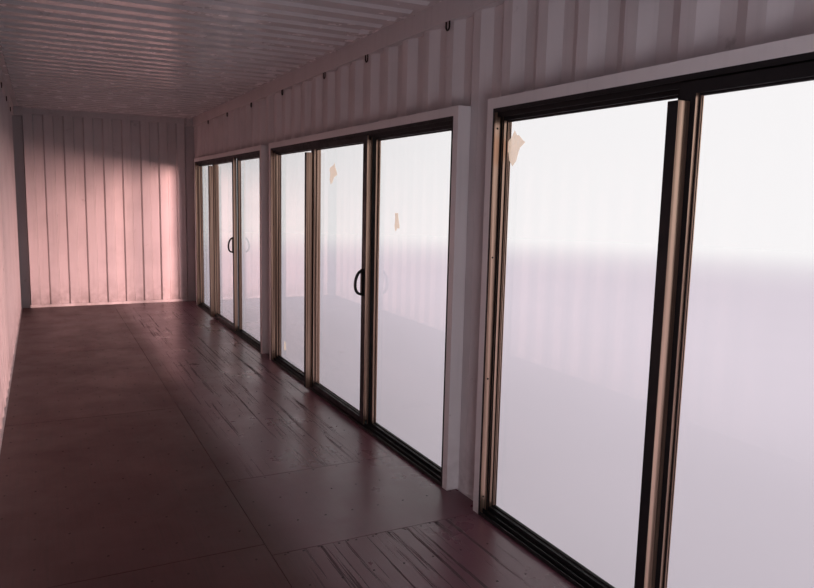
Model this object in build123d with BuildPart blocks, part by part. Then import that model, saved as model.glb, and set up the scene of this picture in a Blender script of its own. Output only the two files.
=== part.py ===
from build123d import *
import math
import os

# Shipping container cabin: a forty foot high cube box with three glazed sliding door units in one long side.
# Millimetres. X runs along the box towards its blind end, the glazed side faces -Y and Z is up.
# The origin is the middle of the footprint, at the underside of the corner castings.

# Overall size and corner castings
length = 12192.0
width = 2438.0
height = 2896.0
casting_long = 178.0
casting_wide = 162.0
casting_tall = 118.0
casting_wall = 20.0
casting_base = 28.0
slot_long = 124.0
slot_wide = 63.5
slot_from_end = 103.5
slot_from_side = 89.5
end_hole = (79.5, 51.0)
side_hole = (89.0, 50.0)

# Steel frame
skin_setback = 5.4
end_setback = 4.0
underside = 12.5
floor_top = 170.0
board_thick = 28.0
board_gap = 3.0
board_rows = 5
board_shift = 0.34
repair_board = 930.0
bottom_rail_sheet = 4.5
bottom_rail_flange = 48.0
bottom_rail_lift = 4.0
top_rail_wide = 60.0
top_rail_tall = 120.0
top_rail_wall = 3.0
post_sheet = 6.0
blind_post_side = 132.0
blind_post_face = 146.0
door_post_wide = 120.0
door_post_long = 114.0
end_rail_deep = 60.0
end_rail_sheet = 4.0
end_header_tall = 80.0
door_sill_deep = 150.0
door_sill_sheet = 5.0
door_header_tall = 120.0
member_flange = 45.0
member_sheet = 4.0
member_pitch = 305.0

# Corrugated sheets
side_sheet = 1.6
side_depth = 36.0
side_pitch = 278.0
side_flat = 72.0
side_slope = 68.0
end_sheet = 2.0
end_depth = 45.6
end_pitch = 250.0
end_flat = 110.0
end_slope = 18.0
roof_drop = 6.0
roof_sheet = 2.0
roof_depth = 20.0
roof_pitch = 209.0
roof_trough = 118.0
roof_margin = 112.0
roof_slant = 33.0

# Glazed door units
unit_count = 3
pier = 280.0
end_margin = 506.0
reveal_depth = 113.6
reveal_face = 50.0
reveal_sheet = 3.0
opening_tall = 2070.0
frame_depth = 106.0
frame_base = 4.0
frame_lip = 3.0
jamb_lip = 16.0
sill_lip = 20.0
head_lip = 20.0
weather_lip = 36.0
middle_lip_at = 47.0
fin_thick = 3.0
fin_tall = 30.0
head_fin_tall = 40.0
slide_front = 7.0
fixed_front = 52.0
sash_depth = 38.0
sash_wall = 2.5
sash_gap = 6.0
glass_thick = 8.0
glass_bite = 8.0
glass_set = 26.0
stile = 70.0
outer_stile = 20.0
slide_half = 570.0
stile_overlap = 20.0
slide_rail = 40.0
fixed_low_rail = 38.0
fixed_high_rail = 50.0
groove_wide = 14.0
groove_tall = 28.0
roller_radius = 10.0
roller_wide = 8.0
roller_axle = 3.0
roller_inset = 140.0
roller_clear = 0.3
strip_wide = 47.0
strip_reach = 55.0
strip_below_glass = 25.0
pull_height = 957.0
pull_tall = 164.0
pull_reach = 52.0
pull_bulge = 6.0
pull_turn = 0.55
pull_bar = 18.0
pull_plate = (26.0, 10.0, 188.0)
pull_from_edge = 52.0

# Cargo leaves at the open end, held shut by lock rods
leaf_gap = 6.0
leaf_setback = 54.0
leaf_thick = 50.0
leaf_stile = 100.0
leaf_ribs = 5
leaf_flat_share = 0.55
leaf_rib_slope = 40.0
leaf_rib_depth = 30.0
seal_thick = 14.0
rod_radius = 17.0
rod_standoff = 8.0
rod_places = (210.0, 860.0)
bracket_wide = 60.0
bracket_tall = 60.0
keeper_tall = 20.0
handle_long = 480.0
handle_thick = 12.0
handle_tall = 38.0
handle_apart = 50.0
catch_wide = 40.0
catch_tall = 60.0
hinge_count = 4
hinge_wide = 85.0
hinge_thick = 10.0
hinge_tall = 150.0
hinge_pin = 11.0

# Lashing rings under the top rails
ring_steps = 4
ring_middle_steps = 3
ring_from_end = 1000.0
ring_wide = 46.0
ring_tall = 52.0
ring_bar = 10.0

# Worked out from the sizes above
half_long = length / 2
half_wide = width / 2
skin = half_wide - skin_setback
reveal_in = skin - reveal_depth
end_face = half_long - end_setback
rail_low = underside + bottom_rail_lift
roof_top = height - roof_drop
rail_high = roof_top - roof_sheet
top_rail_low = rail_high - top_rail_tall
wall_start = -end_face + door_post_long
wall_stop = end_face - blind_post_side
reveal_wide = (length - 2 * end_margin - (unit_count - 1) * pier) / unit_count
clear_wide = reveal_wide - 2 * reveal_face
opening_top = floor_top + opening_tall
reveal_top = opening_top + reveal_face
unit_pitch = reveal_wide + pier
unit_centres = [(k - (unit_count - 1) / 2) * unit_pitch for k in range(unit_count)]
slide_low = floor_top + sill_lip + sash_gap
slide_high = opening_top - head_lip - sash_gap
leaf_x = -end_face + leaf_setback
leaf_low = floor_top + leaf_gap
leaf_high = rail_high - door_header_tall - leaf_gap
leaf_half = skin - door_post_wide - leaf_gap
leaf_panel_low = leaf_low + leaf_stile
leaf_panel_high = leaf_high - leaf_stile
leaf_rib_pitch = (leaf_panel_high - leaf_panel_low) / (leaf_ribs + leaf_flat_share)
leaf_flats = [leaf_panel_low + (n + leaf_flat_share / 2) * leaf_rib_pitch for n in range(leaf_ribs + 1)]
between_castings = width - 2 * casting_wide
rod_x = leaf_x - rod_standoff - rod_radius
ring_pitch = ring_steps * side_pitch
ring_first = ring_middle_steps * side_pitch / 2
ring_count = math.floor((half_long - ring_from_end - ring_first) / ring_pitch) + 1

os.makedirs("parts", exist_ok=True)


def save(part, label):
    # writes one named piece
    part.label = label
    export_step(part, "parts/" + label + ".step")
    print(label, len(part.solids()), round(part.volume / 1000))


def sheet_outline(points, thick, square=False):
    # closes a bent line into a sheet of even thickness; square cuts its ends straight
    other = []
    last = len(points) - 1
    for i, (x, y) in enumerate(points):
        before = points[max(i - 1, 0)]
        after = points[min(i + 1, last)]
        into = math.atan2(y - before[1], x - before[0])
        out = math.atan2(after[1] - y, after[0] - x)
        if i == 0:
            into = out
        if i == last:
            out = into
        middle = (into + out) / 2
        reach = thick / math.cos((out - into) / 2)
        if square and i in (0, last):
            reach = thick / math.cos(middle)
            middle = 0.0
        other.append((x - reach * math.sin(middle), y + reach * math.cos(middle)))
    return points + other[::-1]


def wave(start, stop, pitch, flat, slope, depth, phase):
    # bent line of a corrugated sheet: 0 on its outer flats, depth on its inner flats
    marks = [0.0, flat, flat + slope, pitch - slope, pitch]
    levels = [0.0, 0.0, depth, depth, 0.0]

    def level(x):
        along = (x - phase) % pitch
        for k in range(4):
            if along <= marks[k + 1]:
                share = (along - marks[k]) / (marks[k + 1] - marks[k])
                return levels[k] + share * (levels[k + 1] - levels[k])
        return 0.0

    places = [start, stop]
    for n in range(math.floor((start - phase) / pitch), math.ceil((stop - phase) / pitch) + 1):
        bends = [phase + n * pitch + m for m in marks[:4]]
        places += [x for x in bends if start + side_sheet < x < stop - side_sheet]
    return [(x, level(x)) for x in sorted(places)]


def cut_at_castings():
    # clears the room of the upper castings out of the piece that is being built
    x = half_long - casting_long / 2
    y = half_wide - casting_wide / 2
    with Locations(*[(sx * x, sy * y, height - casting_tall / 2) for sx in (-1, 1) for sy in (-1, 1)]):
        Box(casting_long, casting_wide, casting_tall, mode=Mode.SUBTRACT)


def side_panel(start, stop, low, high, side):
    # corrugated side sheet between two places along the box
    line = wave(start, stop, side_pitch, side_flat, side_slope, side_depth, -side_flat / 2)
    points = [(x, side * (skin - y)) for x, y in sheet_outline(line, side_sheet, square=True)]
    with BuildPart() as made:
        with BuildSketch(Plane.XY.offset(low)):
            with BuildLine():
                Polyline(*points, close=True)
            make_face()
        extrude(amount=high - low)
        if high > height - casting_tall:
            cut_at_castings()
    return made.part


def corner_castings():
    # hollow castings with a slot in every outer face, one at each corner
    wall = casting_wall
    with BuildPart() as one:
        with Locations((casting_long / 2, casting_wide / 2, casting_tall / 2)):
            Box(casting_long, casting_wide, casting_tall)
        inner = (casting_long - 1.5 * wall, casting_wide - 1.6 * wall, casting_tall - 1.4 * casting_base)
        with Locations((wall, wall, casting_base)):
            Box(*inner, align=(Align.MIN, Align.MIN, Align.MIN), mode=Mode.SUBTRACT)
        with BuildSketch(Plane.XY):
            with Locations((slot_from_end, slot_from_side)):
                SlotOverall(slot_long, slot_wide)
        extrude(amount=casting_base, mode=Mode.SUBTRACT)
        with BuildSketch(Plane.YZ):
            with Locations((slot_from_side, casting_tall / 2)):
                SlotOverall(*end_hole, rotation=90)
        extrude(amount=wall, mode=Mode.SUBTRACT)
        with BuildSketch(Plane.XZ):
            with Locations((slot_from_end, casting_tall / 2)):
                SlotOverall(*side_hole)
        extrude(amount=-wall, mode=Mode.SUBTRACT)
    corner = one.part.moved(Location((-half_long, -half_wide, 0)))
    with BuildPart() as low:
        add(corner)
        mirror(about=Plane.YZ)
        mirror(about=Plane.XZ)
    save(low.part, "bottom_corner_castings")
    with BuildPart() as high:
        add(low.part.mirror(Plane.XY).moved(Location((0, 0, height))))
    save(high.part, "top_corner_castings")


def corner_posts():
    # pressed open posts at the blind end, box posts at the cargo end
    tall = height - 2 * casting_tall
    side = end_face - blind_post_side
    turn = skin - blind_post_face
    line = [(side, skin - side_depth), (side, skin), (end_face, skin), (end_face, turn)]
    line.append((end_face - end_depth, turn))
    with BuildPart() as blind:
        with BuildSketch(Plane.XY.offset(casting_tall)):
            with BuildLine():
                Polyline(*sheet_outline(line, -post_sheet), close=True)
            make_face()
            mirror(about=Plane.XZ)
        extrude(amount=tall)
    save(blind.part, "blind_end_corner_posts")
    with BuildPart() as cargo:
        with BuildSketch(Plane.XY.offset(casting_tall)):
            with Locations((-end_face + door_post_long / 2, skin - door_post_wide / 2)):
                Rectangle(door_post_long, door_post_wide)
                Rectangle(door_post_long - 2 * post_sheet, door_post_wide - 2 * post_sheet, mode=Mode.SUBTRACT)
            mirror(about=Plane.XZ)
        extrude(amount=tall)
    save(cargo.part, "door_end_corner_posts")


def side_rails():
    # pressed bottom channels and square top tubes along both long sides
    long = length - 2 * casting_long
    tall = floor_top - rail_low
    with BuildPart() as bottom:
        with BuildSketch(Plane.YZ.offset(-long / 2)):
            with Locations((skin - bottom_rail_flange / 2, (rail_low + floor_top) / 2)):
                Rectangle(bottom_rail_flange, tall)
            with Locations((skin - bottom_rail_flange / 2 - bottom_rail_sheet, (rail_low + floor_top) / 2)):
                Rectangle(bottom_rail_flange, tall - 2 * bottom_rail_sheet, mode=Mode.SUBTRACT)
            mirror(about=Plane.YZ)
        extrude(amount=long)
    save(bottom.part, "bottom_side_rails")
    with BuildPart() as top:
        with BuildSketch(Plane.YZ.offset(-long / 2)):
            with Locations((skin - top_rail_wide / 2, rail_high - top_rail_tall / 2)):
                Rectangle(top_rail_wide, top_rail_tall)
                Rectangle(top_rail_wide - 2 * top_rail_wall, top_rail_tall - 2 * top_rail_wall, mode=Mode.SUBTRACT)
            mirror(about=Plane.YZ)
        extrude(amount=long)
    save(top.part, "top_side_rails")


def cross_beam(label, middle, deep, low, high, sheet):
    # pressed beam across one end, open at both of its own ends
    with BuildPart() as made:
        with Locations((middle, 0, (low + high) / 2)):
            Box(deep, between_castings, high - low)
            Box(deep - 2 * sheet, between_castings, high - low - 2 * sheet, mode=Mode.SUBTRACT)
    save(made.part, label)


def end_beams():
    # sill and header of both ends
    blind = end_face - end_rail_deep / 2
    cross_beam("blind_end_bottom_rail", blind, end_rail_deep, underside, floor_top, end_rail_sheet)
    cross_beam("blind_end_top_rail", blind, end_rail_deep, rail_high - end_header_tall, rail_high, end_rail_sheet)
    sill = -end_face + door_sill_deep / 2
    header = -end_face + door_post_long / 2
    cross_beam("door_end_sill", sill, door_sill_deep, underside, floor_top, door_sill_sheet)
    cross_beam("door_end_header", header, door_post_long, rail_high - door_header_tall, rail_high, door_sill_sheet)


def cross_members():
    # pressed channels under the floor, from rail to rail
    low = rail_low + bottom_rail_sheet
    tall = floor_top - board_thick - low
    reach = skin - bottom_rail_sheet
    start = -end_face + door_sill_deep
    stop = end_face - end_rail_deep
    count = math.floor((stop - start - member_flange) / member_pitch)
    with BuildPart() as members:
        with BuildSketch(Plane.XZ.offset(-reach)):
            with Locations(((start + stop) / 2, low + tall / 2)):
                with GridLocations(member_pitch, 0, count, 1):
                    Rectangle(member_flange, tall)
            with Locations(((start + stop) / 2 + member_sheet, low + tall / 2)):
                with GridLocations(member_pitch, 0, count, 1):
                    Rectangle(member_flange, tall - 2 * member_sheet, mode=Mode.SUBTRACT)
        extrude(amount=2 * reach)
    save(members.part, "floor_cross_members")


def floor_boards():
    # plywood sheets with fine gaps: whole ones and a short repair sheet along the doors, shifted ones along the wall
    start = -end_face + door_sill_deep
    stop = end_face - end_rail_deep
    half = skin - bottom_rail_flange
    long = (stop - start) / board_rows
    door_row = [start + n * long for n in range(board_rows + 1)]
    door_row.insert(2, door_row[2] - repair_board)
    wall_row = [start] + [start + (n + 1 - board_shift) * long for n in range(board_rows)] + [stop]
    with BuildPart() as boards:
        with BuildSketch(Plane.XY.offset(floor_top)):
            for side, joints in ((-1, door_row), (1, wall_row)):
                for near, far in zip(joints, joints[1:]):
                    with Locations(((near + far) / 2, side * half / 2)):
                        Rectangle(far - near - board_gap, half - board_gap)
        extrude(amount=-board_thick)
    save(boards.part, "floor_boards")


def roof():
    # one sheet with stamped cross troughs, closed at both ends short of the rails
    reach = 2 * (half_wide - roof_margin)
    count = math.floor((length - 2 * casting_long - roof_trough) / roof_pitch)
    slant = roof_sheet * math.tan(math.radians(roof_slant))
    with BuildPart() as sheet:
        with Locations((0, 0, roof_top - roof_sheet / 2)):
            Box(2 * end_face, 2 * skin, roof_sheet)
        with BuildSketch(Plane.XY.offset(roof_top - roof_sheet)):
            with GridLocations(roof_pitch, 0, count, 1):
                Rectangle(roof_trough, reach)
        extrude(amount=-roof_depth, taper=roof_slant)
        with BuildSketch(Plane.XY.offset(roof_top)):
            with GridLocations(roof_pitch, 0, count, 1):
                Rectangle(roof_trough - slant, reach - slant)
        extrude(amount=-roof_depth, taper=roof_slant, mode=Mode.SUBTRACT)
        cut_at_castings()
    save(sheet.part, "roof_panel")


def end_wall():
    # corrugated blind end between the corner posts
    half = skin - blind_post_face
    phase = (end_pitch - end_flat) / 2
    line = wave(-half, half, end_pitch, end_flat, end_slope, end_depth - end_sheet, phase)
    points = [(end_face - y, x) for x, y in sheet_outline(line, end_sheet, square=True)]
    with BuildPart() as made:
        with BuildSketch(Plane.XY.offset(floor_top)):
            with BuildLine():
                Polyline(*points, close=True)
            make_face()
        extrude(amount=rail_high - end_header_tall - floor_top)
        cut_at_castings()
    save(made.part, "blind_end_wall")


def long_walls():
    # plain wall, and the glazed wall split beside and over its door units
    save(side_panel(wall_start, wall_stop, floor_top, top_rail_low, 1), "plain_side_wall")
    save(side_panel(wall_start, wall_stop, reveal_top, top_rail_low, -1), "wall_over_doors")
    edges = [wall_start]
    for centre in unit_centres:
        edges += [centre - reveal_wide / 2, centre + reveal_wide / 2]
    edges.append(wall_stop)
    with BuildPart() as piers:
        for start, stop in zip(edges[::2], edges[1::2]):
            add(side_panel(start, stop, floor_top, reveal_top, -1))
    save(piers.part, "wall_beside_doors")


def upright_ring(centre, at, depth, outer, inner):
    # upright frame seen from the room; outer and inner are width, lowest and highest height
    with BuildPart() as ring:
        with BuildSketch(Plane.XZ.offset(reveal_in + at)):
            with Locations((centre, (outer[1] + outer[2]) / 2)):
                Rectangle(outer[0], outer[2] - outer[1])
            with Locations((centre, (inner[1] + inner[2]) / 2)):
                Rectangle(inner[0], inner[2] - inner[1], mode=Mode.SUBTRACT)
        extrude(amount=depth)
    return ring.part


def door_reveal(centre):
    # hollow steel lining of one opening: a head and two jambs that stand on the side rail
    depth = reveal_depth
    sheet = reveal_sheet
    opening = (clear_wide, floor_top, opening_top)
    with BuildPart() as made:
        add(upright_ring(centre, 0, depth, (reveal_wide, floor_top, reveal_top), opening))
        with BuildSketch(Plane.XZ.offset(reveal_in + sheet)):
            with Locations((centre, (floor_top + reveal_top - sheet) / 2)):
                Rectangle(reveal_wide - 2 * sheet, reveal_top - sheet - floor_top)
            with Locations((centre, (floor_top + opening_top + sheet) / 2)):
                Rectangle(clear_wide + 2 * sheet, opening_tall + sheet, mode=Mode.SUBTRACT)
        extrude(amount=depth - 2 * sheet, mode=Mode.SUBTRACT)
    return made.part


def door_frame(number, centre):
    # channel-shaped aluminium frame: a base with lips for two tracks, and a fin for the rollers
    outer = (clear_wide, floor_top, opening_top)
    base = frame_base
    past_base = (clear_wide - 2 * base, floor_top + base, opening_top - base)
    past_lip = (clear_wide - 2 * jamb_lip, floor_top + sill_lip, opening_top - head_lip)
    track = -(reveal_in + slide_front + sash_depth / 2)
    weather = -(reveal_in + frame_depth - frame_lip / 2)
    with BuildPart() as made:
        add(upright_ring(centre, 0, frame_depth, outer, past_base))
        for at in (0, middle_lip_at, frame_depth - frame_lip):
            add(upright_ring(centre, at, frame_lip, outer, past_lip))
        with Locations((centre, weather, floor_top + weather_lip / 2)):
            Box(clear_wide, frame_lip, weather_lip)
        with Locations((centre, track, floor_top + fin_tall / 2)):
            Box(clear_wide - base, fin_thick, fin_tall)
        with Locations((centre, track, opening_top - head_fin_tall / 2)):
            Box(clear_wide - base, fin_thick, head_fin_tall)
    save(made.part, "door_frame_" + number)


def sash(left, right, low, high, front, stiles, rails):
    # hollow stiles and two rails around one glass; stiles are left and right, rails low and high
    inner_left = left + stiles[0]
    inner_right = right - stiles[1]
    inner_low = low + rails[0]
    inner_high = high - rails[1]
    middle = ((inner_left + inner_right) / 2, (inner_low + inner_high) / 2)
    glass_wide = inner_right - inner_left + 2 * glass_bite
    glass_tall = inner_high - inner_low + 2 * glass_bite
    glass_near = reveal_in + front + glass_set - glass_thick / 2
    with BuildPart() as frame:
        with BuildSketch(Plane.XZ.offset(reveal_in + front)):
            with Locations(((left + right) / 2, (low + high) / 2)):
                Rectangle(right - left, high - low)
            with Locations(middle):
                Rectangle(inner_right - inner_left, inner_high - inner_low, mode=Mode.SUBTRACT)
        extrude(amount=sash_depth)
        with BuildSketch(Plane.XZ.offset(glass_near)):
            with Locations(middle):
                Rectangle(glass_wide, glass_tall)
        extrude(amount=glass_thick, mode=Mode.SUBTRACT)
        hollow = stile - glass_bite - 2 * sash_wall
        places = []
        if stiles[0] == stile:
            places.append(left + sash_wall + hollow / 2)
        if stiles[1] == stile:
            places.append(right - sash_wall - hollow / 2)
        with Locations(*[(x, -(reveal_in + front + sash_depth / 2), (low + high) / 2) for x in places]):
            Box(hollow, sash_depth - 2 * sash_wall, high - low, mode=Mode.SUBTRACT)
    with BuildPart() as pane:
        with BuildSketch(Plane.XZ.offset(glass_near)):
            with Locations(middle):
                Rectangle(glass_wide, glass_tall)
        extrude(amount=glass_thick)
    return frame.part, pane.part


def fixed_panels(number, centre):
    # near and far fixed panels on the outer track
    left = centre - clear_wide / 2 + frame_base
    right = centre + clear_wide / 2 - frame_base
    low = floor_top + frame_base
    high = opening_top - frame_base
    turn = slide_half - stile_overlap
    rails = (fixed_low_rail, fixed_high_rail)
    near = sash(left, centre - turn, low, high, fixed_front, (outer_stile, stile), rails)
    far = sash(centre + turn, right, low, high, fixed_front, (stile, outer_stile), rails)
    for index, label in enumerate(("fixed_sashes_", "fixed_glass_")):
        with BuildPart() as pair:
            add(near[index])
            add(far[index])
        save(pair.part, label + number)


def sliding_panel(number, centre):
    # middle panel on the inner track, with rollers on the sill's fin
    left = centre - slide_half
    right = centre + slide_half
    track = -(reveal_in + slide_front + sash_depth / 2)
    face = -(reveal_in + slide_front)
    fin_top = floor_top + fin_tall
    frame, pane = sash(left, right, slide_low, slide_high, slide_front, (stile, stile), (slide_rail, slide_rail))
    strip_high = slide_high - slide_rail - strip_below_glass
    with BuildPart() as moving:
        add(frame)
        low_groove = slide_low + groove_tall / 2
        high_groove = slide_high - groove_tall / 2
        with Locations((centre, track, low_groove), (centre, track, high_groove)):
            Box(right - left, groove_wide, groove_tall, mode=Mode.SUBTRACT)
        with Locations((right - strip_wide / 2, face + strip_reach / 2, (slide_low + strip_high) / 2)):
            Box(strip_wide, strip_reach, strip_high - slide_low)
        with Locations((right - strip_wide / 2, face + strip_reach / 2, (slide_low + strip_high) / 2 - sash_wall)):
            Box(strip_wide - 2 * sash_wall, strip_reach - 2 * sash_wall, strip_high - slide_low, mode=Mode.SUBTRACT)
    save(moving.part, "sliding_sash_" + number)
    save(pane, "sliding_glass_" + number)
    axle = fin_top + roller_clear + roller_radius
    spots = [left + roller_inset, right - roller_inset]
    with BuildPart() as rollers:
        with Locations(*[Location((x, track, axle), (90, 0, 0)) for x in spots]):
            Cylinder(roller_radius, roller_wide)
            Cylinder(roller_axle, groove_wide)
    save(rollers.part, "sliding_rollers_" + number)


def door_pull(number, centre):
    # bow handle with a back plate on the near stile of the sliding panel
    x = centre - slide_half + pull_from_edge
    face = -(reveal_in + slide_front)
    low = floor_top + pull_height
    high = low + pull_tall
    out = face + pull_reach
    turn = low + pull_turn * pull_tall
    with BuildPart() as made:
        with BuildLine(Plane.YZ.offset(x)) as bow:
            Bezier((face, low), (out, low - pull_bulge), (out + pull_bulge, low + 0.3 * pull_tall), (out, turn))
            Bezier((out, turn), (out - pull_bulge, low + 0.8 * pull_tall), (face + pull_reach / 2, high), (face, high))
        start = bow.wires()[0]
        with BuildSketch(Plane(origin=start @ 0, z_dir=start % 0)):
            RectangleRounded(pull_bar, pull_bar, pull_bar / 4)
        sweep()
        with Locations((x, face + pull_plate[1] / 2, (low + high) / 2)):
            Box(*pull_plate)
        split(bisect_by=Plane(origin=(0, face, 0), z_dir=(0, 1, 0)), keep=Keep.TOP)
    save(made.part, "door_pull_" + number)


def cargo_leaf(side):
    # welded frame with a ribbed panel that is flush with its outer face
    wide = leaf_half - leaf_gap
    inner = leaf_gap + leaf_stile
    flat = leaf_flat_share * leaf_rib_pitch
    line = wave(leaf_panel_low, leaf_panel_high, leaf_rib_pitch, flat, leaf_rib_slope, leaf_rib_depth, leaf_panel_low)
    points = [(leaf_x + y, z) for z, y in sheet_outline(line, end_sheet, square=True)]
    with BuildPart() as leaf:
        with BuildSketch(Plane.YZ.offset(leaf_x)):
            with Locations((leaf_gap + wide / 2, (leaf_low + leaf_high) / 2)):
                Rectangle(wide, leaf_high - leaf_low)
                Rectangle(wide - 2 * leaf_stile, leaf_panel_high - leaf_panel_low, mode=Mode.SUBTRACT)
        extrude(amount=leaf_thick)
        hollow = leaf_stile - 2 * door_sill_sheet
        depth = leaf_thick - 2 * door_sill_sheet
        middle = leaf_x + leaf_thick / 2
        for y in (leaf_gap + leaf_stile / 2, leaf_half - leaf_stile / 2):
            with Locations((middle, y, (leaf_low + leaf_high) / 2)):
                Box(depth, hollow, leaf_high - leaf_low, mode=Mode.SUBTRACT)
        for z in (leaf_low + leaf_stile / 2, leaf_high - leaf_stile / 2):
            with Locations((middle, leaf_gap + wide / 2, z)):
                Box(depth, wide - 2 * door_sill_sheet, hollow, mode=Mode.SUBTRACT)
        with BuildSketch(Plane.XZ.offset(-inner)):
            with BuildLine():
                Polyline(*points, close=True)
            make_face()
        extrude(amount=-(wide - 2 * leaf_stile))
    if side < 0:
        return leaf.part.mirror(Plane.XZ)
    return leaf.part


def cargo_doors():
    # two leaves with the seal that closes the gap around them
    with BuildPart() as leaves:
        add(cargo_leaf(1))
        add(cargo_leaf(-1))
    save(leaves.part, "cargo_doors")
    wide = leaf_half - leaf_gap
    middle = leaf_gap + wide / 2
    header = rail_high - door_header_tall
    with BuildPart() as seal:
        with BuildSketch(Plane.YZ.offset(leaf_x + (leaf_thick - seal_thick) / 2)):
            with Locations((0, (floor_top + header) / 2)):
                Rectangle(2 * (skin - door_post_wide), header - floor_top)
            with Locations((middle, (leaf_low + leaf_high) / 2), (-middle, (leaf_low + leaf_high) / 2)):
                Rectangle(wide, leaf_high - leaf_low, mode=Mode.SUBTRACT)
        extrude(amount=seal_thick)
    save(seal.part, "cargo_door_seal")


def lock_rods():
    # four upright rods, each with its turning handle
    low = floor_top + keeper_tall
    high = rail_high - door_header_tall - keeper_tall
    front = rod_x - rod_radius
    with BuildPart() as rods:
        for side in (-1, 1):
            for y, way, lift in ((rod_places[0], 1, 1), (rod_places[1], -1, -1)):
                z = leaf_flats[2] + lift * handle_apart
                with Locations((rod_x, side * y, (low + high) / 2)):
                    Cylinder(rod_radius, high - low)
                with Locations((front - handle_thick / 2, side * (y + way * handle_long / 2), z)):
                    Box(handle_thick, handle_long, handle_tall)
                with Locations(((front - handle_thick + rod_x) / 2, side * y, z)):
                    Box(rod_x - front + handle_thick, 2 * rod_radius, handle_tall)
    save(rods.part, "lock_rods")


def lock_brackets():
    # square collars around the rods, keepers at their ends and catches under the handles
    hole = 2 * rod_radius
    deep = hole + 2 * rod_standoff
    front = rod_x - rod_radius
    heights = [leaf_low + leaf_stile / 2, leaf_flats[1], leaf_flats[4], leaf_high - leaf_stile / 2]
    ends = [floor_top + keeper_tall / 2, rail_high - door_header_tall - keeper_tall / 2]
    with BuildPart() as brackets:
        for side in (-1, 1):
            for y, way, lift in ((rod_places[0], 1, 1), (rod_places[1], -1, -1)):
                with Locations(*[(rod_x, side * y, z) for z in heights]):
                    Box(deep, bracket_wide, bracket_tall)
                    Box(hole, hole, bracket_tall, mode=Mode.SUBTRACT)
                with Locations(*[(rod_x, side * y, z) for z in ends]):
                    Box(hole, bracket_wide, keeper_tall)
                far = side * (y + way * (handle_long - catch_wide))
                with Locations(((leaf_x + front) / 2, far, leaf_flats[2] + lift * handle_apart)):
                    Box(leaf_x - front, catch_wide, catch_tall)
    save(brackets.part, "lock_rod_brackets")


def cargo_hinges():
    # hinge plates on the leaves with a knuckle against the corner posts
    edge = skin - door_post_wide
    plate = edge - hinge_pin - hinge_wide / 2
    step = (leaf_high - leaf_low) / hinge_count
    with BuildPart() as hinges:
        for side in (-1, 1):
            for k in range(hinge_count):
                z = leaf_low + (k + 0.5) * step
                with Locations((leaf_x - hinge_thick / 2, side * plate, z)):
                    Box(hinge_thick, hinge_wide, hinge_tall)
                with Locations((leaf_x - hinge_pin, side * (edge - hinge_pin), z)):
                    Cylinder(hinge_pin, hinge_tall)
    save(hinges.part, "cargo_door_hinges")


def lashing_rings():
    # square-cornered loops that hang under the top side rails
    places = [side * (ring_first + n * ring_pitch) for n in range(ring_count) for side in (-1, 1)]
    inner = skin - top_rail_wide
    with BuildPart() as rings:
        for side in (-1, 1):
            near = -side * inner if side < 0 else -(inner + ring_bar)
            with BuildSketch(Plane.XZ.offset(near)):
                with Locations(*[(x, top_rail_low - ring_tall / 2) for x in places]):
                    Rectangle(ring_wide, ring_tall)
                    Rectangle(ring_wide - 2 * ring_bar, ring_tall - 2 * ring_bar, mode=Mode.SUBTRACT)
            extrude(amount=ring_bar)
    save(rings.part, "lashing_rings")


corner_castings()
corner_posts()
side_rails()
end_beams()
cross_members()
floor_boards()
roof()
end_wall()
long_walls()
with BuildPart() as reveals:
    for unit in unit_centres:
        add(door_reveal(unit))
save(reveals.part, "door_reveals")
for index, unit in enumerate(unit_centres):
    number = str(index + 1)
    door_frame(number, unit)
    fixed_panels(number, unit)
    sliding_panel(number, unit)
    door_pull(number, unit)
cargo_doors()
lock_rods()
lock_brackets()
cargo_hinges()
lashing_rings()
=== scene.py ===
import math

import bpy
from mathutils import Matrix, Vector


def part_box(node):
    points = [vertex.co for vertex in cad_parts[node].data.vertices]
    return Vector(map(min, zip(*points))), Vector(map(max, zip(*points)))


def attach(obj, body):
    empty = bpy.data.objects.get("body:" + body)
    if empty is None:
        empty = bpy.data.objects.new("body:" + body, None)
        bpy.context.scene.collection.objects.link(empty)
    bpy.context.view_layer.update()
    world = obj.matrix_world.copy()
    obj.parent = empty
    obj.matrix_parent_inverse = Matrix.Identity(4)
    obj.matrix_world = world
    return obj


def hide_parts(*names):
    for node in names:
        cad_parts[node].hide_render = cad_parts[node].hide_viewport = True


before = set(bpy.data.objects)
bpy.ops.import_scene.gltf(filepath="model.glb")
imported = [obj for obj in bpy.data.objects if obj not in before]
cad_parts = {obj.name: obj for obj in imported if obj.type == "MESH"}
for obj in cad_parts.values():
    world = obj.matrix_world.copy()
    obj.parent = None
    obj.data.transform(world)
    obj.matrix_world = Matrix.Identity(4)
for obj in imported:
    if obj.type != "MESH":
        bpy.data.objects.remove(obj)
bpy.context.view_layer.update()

bl_info = {
    "name": "Container cabin finishes",
    "version": (1, 0, 0),
    "blender": (4, 5, 0),
    "location": "View3D > Sidebar > Cabin",
    "description": "Finishes and fittings for a steel container cabin with glazed sliding doors",
    "category": "Object",
}

BODY = "cabin"
UNITS = ("1", "2", "3")

# Sizes in metres; corners and edges within NEAR of a plane count as lying in it
NEAR = 1e-4
QUARTER_TURN = math.radians(90.0)
FLOOR_LOW, FLOOR_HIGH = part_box("floor_boards")
FLOOR_TOP = FLOOR_HIGH[2]
END_WALL_LOW, END_WALL_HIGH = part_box("blind_end_wall")
WALL_FOOT = 0.17

# The repair sheet beside the middle door unit ends at the second joint of the row along the doors
BOARDS_IN_ROW = 5
BOARD_LONG = (FLOOR_HIGH[0] - FLOOR_LOW[0]) / BOARDS_IN_ROW
REPAIR_HALF = 0.465
REPAIR_MIDDLE = FLOOR_LOW[0] + 2 * BOARD_LONG - REPAIR_HALF

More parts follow.
